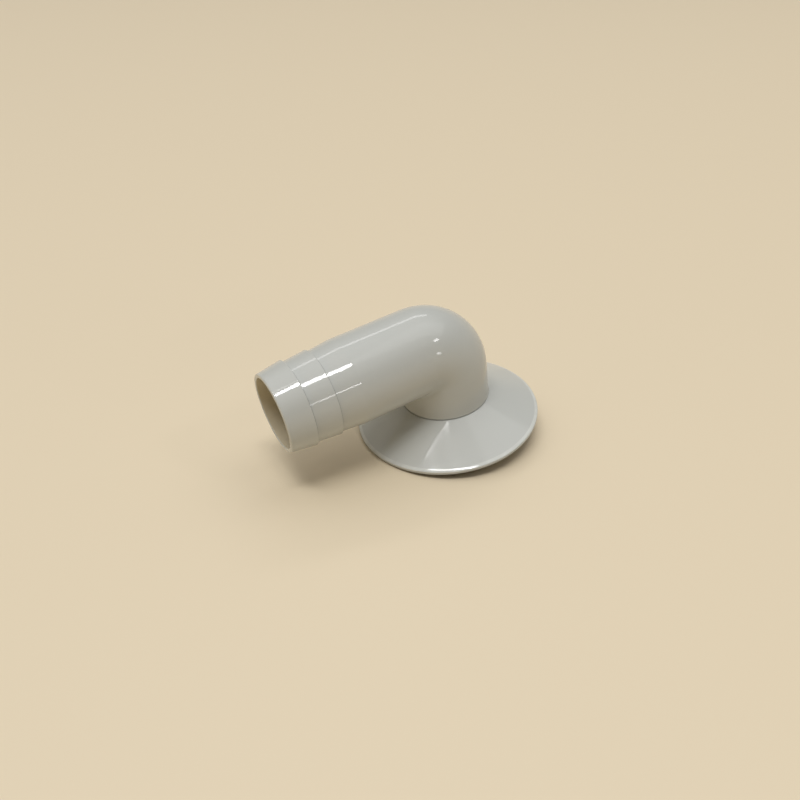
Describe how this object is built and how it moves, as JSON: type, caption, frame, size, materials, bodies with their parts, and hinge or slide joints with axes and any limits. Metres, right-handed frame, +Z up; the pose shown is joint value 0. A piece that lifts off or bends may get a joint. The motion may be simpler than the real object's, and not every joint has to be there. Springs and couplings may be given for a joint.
{
  "type": "swivel hose elbow",
  "caption": "Right-angle plastic hose elbow with a barbed tail, turning in a shallow conical flange that seals flat against a panel round its spigot.",
  "frame": {"origin": "middle of the part's outline seen from above, level with the spigot's end; the upright axis that the elbow turns on is at x = 13.05 mm, and the face seal meets the panel at z = 2.1 mm", "axes": "+Z up along the stub, away from the panel; the hose tail points along -X at rest; the part is the same on both sides of the XZ plane"},
  "size_m": [0.083, 0.057, 0.0433],
  "materials": {
    "elbow_plastic": "glossy moulded light grey plastic",
    "flange_plastic": "glossy moulded light grey plastic",
    "o_ring_rubber": "lightly greased black rubber",
    "ring_plastic": "satin natural acetal",
    "seal_rubber": "matt black rubber"
  },
  "bodies": {
    "flange": {"cone_flange": "flange_plastic", "face_seal": "seal_rubber"},
    "turning_elbow": {"elbow": "elbow_plastic", "spigot_o_ring": "o_ring_rubber", "retaining_ring": "ring_plastic"}
  },
  "joints": [
    {"name": "elbow_swivel", "type": "hinge", "parent": "flange", "child": "turning_elbow", "pos_m": [0.01305, 0, 0.01075], "axis": [0, 0, 1], "continuous": true}
  ]
}
